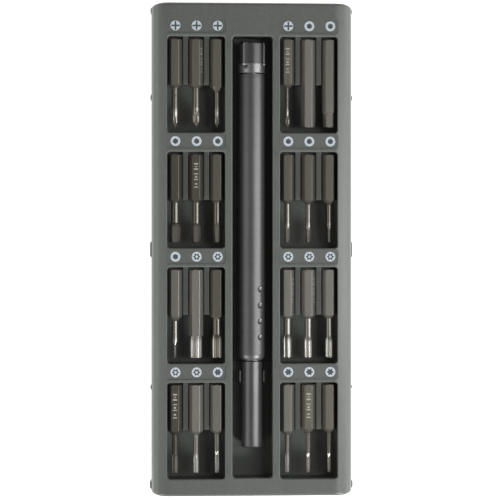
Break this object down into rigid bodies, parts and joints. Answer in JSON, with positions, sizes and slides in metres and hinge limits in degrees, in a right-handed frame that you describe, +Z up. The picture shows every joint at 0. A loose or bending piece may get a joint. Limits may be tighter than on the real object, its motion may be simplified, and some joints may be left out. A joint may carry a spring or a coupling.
{
  "type": "precision screwdriver set",
  "caption": "Slim open tray with hexagonal driver bits in slotted pockets beside icons, and a round handle with a free-turning grooved cap in a long middle channel.",
  "frame": {"origin": "middle of the tray's underside, on the surface it rests on", "axes": "+X across the tray, +Y along it towards the handle's cap, +Z up out of the pockets"},
  "size_m": [0.065, 0.1566, 0.0146],
  "materials": {
    "tray_plastic": "fine-textured moulded ABS",
    "cover_plastic": "fine-textured moulded ABS",
    "handle_aluminium": "dark grey anodised, bead blasted",
    "nose_aluminium": "dark grey anodised, bead blasted",
    "cap_aluminium": "dark grey anodised, milled flats",
    "socket_steel": "turned steel",
    "magnet_plating": "nickel plated",
    "bearing_steel": "ground and polished",
    "cage_steel": "pressed steel",
    "screw_steel": "black oxide",
    "bit_steel": "hardened tool steel, bead blasted",
    "icon_ink": "pad-printed ink"
  },
  "bodies": {
    "tray_set": {"tray": "tray_plastic", "base_cover": "cover_plastic", "pocket_magnet_1": "magnet_plating", "pocket_magnet_2": "magnet_plating", "pocket_magnet_3": "magnet_plating", "pocket_magnet_4": "magnet_plating", "pocket_magnet_5": "magnet_plating", "pocket_magnet_6": "magnet_plating", "pocket_magnet_7": "magnet_plating", "pocket_magnet_8": "magnet_plating"},
    "handle": {"handle_body": "handle_aluminium", "handle_nose": "nose_aluminium", "bit_socket": "socket_steel", "socket_magnet": "magnet_plating", "bearing_outer_ring": "bearing_steel"},
    "cap": {"swivel_cap": "cap_aluminium", "cap_screw": "screw_steel", "bearing_inner_ring": "bearing_steel"},
    "ball_set": {"bearing_balls": "bearing_steel", "bearing_cage": "cage_steel"},
    "bit_cross_0": {"bit_cross_0": "bit_steel"},
    "bit_cross_1": {"bit_cross_1": "bit_steel"},
    "bit_cross_00": {"bit_cross_00": "bit_steel"},
    "bit_cross_000": {"bit_cross_000": "bit_steel"},
    "bit_hex_4_0": {"bit_hex_4_0": "bit_steel"},
    "bit_hex_3_5": {"bit_hex_3_5": "bit_steel"},
    "bit_hex_3_0": {"bit_hex_3_0": "bit_steel"},
    "bit_hex_2_5": {"bit_hex_2_5": "bit_steel"},
    "bit_hex_2_0": {"bit_hex_2_0": "bit_steel"},
    "bit_hex_1_5": {"bit_hex_1_5": "bit_steel"},
    "bit_hex_1_3": {"bit_hex_1_3": "bit_steel"},
    "bit_hex_0_9": {"bit_hex_0_9": "bit_steel"},
    "bit_hex_0_7": {"bit_hex_0_7": "bit_steel"},
    "bit_pin_star_20": {"bit_pin_star_20": "bit_steel"},
    "bit_pin_star_15": {"bit_pin_star_15": "bit_steel"},
    "bit_pin_star_10": {"bit_pin_star_10": "bit_steel"},
    "bit_pin_star_9": {"bit_pin_star_9": "bit_steel"},
    "bit_pin_star_8": {"bit_pin_star_8": "bit_steel"},
    "bit_pin_star_7": {"bit_pin_star_7": "bit_steel"},
    "bit_pin_star_6": {"bit_pin_star_6": "bit_steel"},
    "bit_star_5": {"bit_star_5": "bit_steel"},
    "bit_star_4": {"bit_star_4": "bit_steel"},
    "bit_star_3": {"bit_star_3": "bit_steel"},
    "bit_star_2": {"bit_star_2": "bit_steel"}
  },
  "joints": [
    {"name": "lift_cross_0", "type": "slide", "parent": "tray_set", "child": "bit_cross_0", "axis": [0, 0, 1], "range_m": [0, 0.02]},
    {"name": "lift_cross_1", "type": "slide", "parent": "tray_set", "child": "bit_cross_1", "axis": [0, 0, 1], "range_m": [0, 0.02]},
    {"name": "lift_cross_00", "type": "slide", "parent": "tray_set", "child": "bit_cross_00", "axis": [0, 0, 1], "range_m": [0, 0.02]},
    {"name": "lift_cross_000", "type": "slide", "parent": "tray_set", "child": "bit_cross_000", "axis": [0, 0, 1], "range_m": [0, 0.02]},
    {"name": "lift_hex_4_0", "type": "slide", "parent": "tray_set", "child": "bit_hex_4_0", "axis": [0, 0, 1], "range_m": [0, 0.02]},
    {"name": "lift_hex_3_5", "type": "slide", "parent": "tray_set", "child": "bit_hex_3_5", "axis": [0, 0, 1], "range_m": [0, 0.02]},
    {"name": "lift_hex_3_0", "type": "slide", "parent": "tray_set", "child": "bit_hex_3_0", "axis": [0, 0, 1], "range_m": [0, 0.02]},
    {"name": "lift_hex_2_5", "type": "slide", "parent": "tray_set", "child": "bit_hex_2_5", "axis": [0, 0, 1], "range_m": [0, 0.02]},
    {"name": "lift_hex_2_0", "type": "slide", "parent": "tray_set", "child": "bit_hex_2_0", "axis": [0, 0, 1], "range_m": [0, 0.02]},
    {"name": "lift_hex_1_5", "type": "slide", "parent": "tray_set", "child": "bit_hex_1_5", "axis": [0, 0, 1], "range_m": [0, 0.02]},
    {"name": "lift_hex_1_3", "type": "slide", "parent": "tray_set", "child": "bit_hex_1_3", "axis": [0, 0, 1], "range_m": [0, 0.02]},
    {"name": "lift_hex_0_9", "type": "slide", "parent": "tray_set", "child": "bit_hex_0_9", "axis": [0, 0, 1], "range_m": [0, 0.02]},
    {"name": "lift_hex_0_7", "type": "slide", "parent": "tray_set", "child": "bit_hex_0_7", "axis": [0, 0, 1], "range_m": [0, 0.02]},
    {"name": "lift_pin_star_20", "type": "slide", "parent": "tray_set", "child": "bit_pin_star_20", "axis": [0, 0, 1], "range_m": [0, 0.02]},
    {"name": "lift_pin_star_15", "type": "slide", "parent": "tray_set", "child": "bit_pin_star_15", "axis": [0, 0, 1], "range_m": [0, 0.02]},
    {"name": "lift_pin_star_10", "type": "slide", "parent": "tray_set", "child": "bit_pin_star_10", "axis": [0, 0, 1], "range_m": [0, 0.02]},
    {"name": "lift_pin_star_9", "type": "slide", "parent": "tray_set", "child": "bit_pin_star_9", "axis": [0, 0, 1], "range_m": [0, 0.02]},
    {"name": "lift_pin_star_8", "type": "slide", "parent": "tray_set", "child": "bit_pin_star_8", "axis": [0, 0, 1], "range_m": [0, 0.02]},
    {"name": "lift_pin_star_7", "type": "slide", "parent": "tray_set", "child": "bit_pin_star_7", "axis": [0, 0, 1], "range_m": [0, 0.02]},
    {"name": "lift_pin_star_6", "type": "slide", "parent": "tray_set", "child": "bit_pin_star_6", "axis": [0, 0, 1], "range_m": [0, 0.02]},
    {"name": "lift_star_5", "type": "slide", "parent": "tray_set", "child": "bit_star_5", "axis": [0, 0, 1], "range_m": [0, 0.02]},
    {"name": "lift_star_4", "type": "slide", "parent": "tray_set", "child": "bit_star_4", "axis": [0, 0, 1], "range_m": [0, 0.02]},
    {"name": "lift_star_3", "type": "slide", "parent": "tray_set", "child": "bit_star_3", "axis": [0, 0, 1], "range_m": [0, 0.02]},
    {"name": "lift_star_2", "type": "slide", "parent": "tray_set", "child": "bit_star_2", "axis": [0, 0, 1], "range_m": [0, 0.02]},
    {"name": "lift_handle", "type": "slide", "parent": "tray_set", "child": "handle", "axis": [0, 0, 1], "range_m": [0, 0.025]},
    {"name": "cap_swivel", "type": "hinge", "parent": "handle", "child": "cap", "pos_m": [0, 0.056, 0.00965], "axis": [0, 1, 0], "continuous": true},
    {"name": "ball_orbit", "type": "hinge", "parent": "handle", "child": "ball_set", "pos_m": [0, 0.05459, 0.00965], "axis": [0, 1, 0], "continuous": true}
  ],
  "couplings": [
    {"joint": "ball_orbit", "follows": "cap_swivel", "ratio": 0.38}
  ]
}
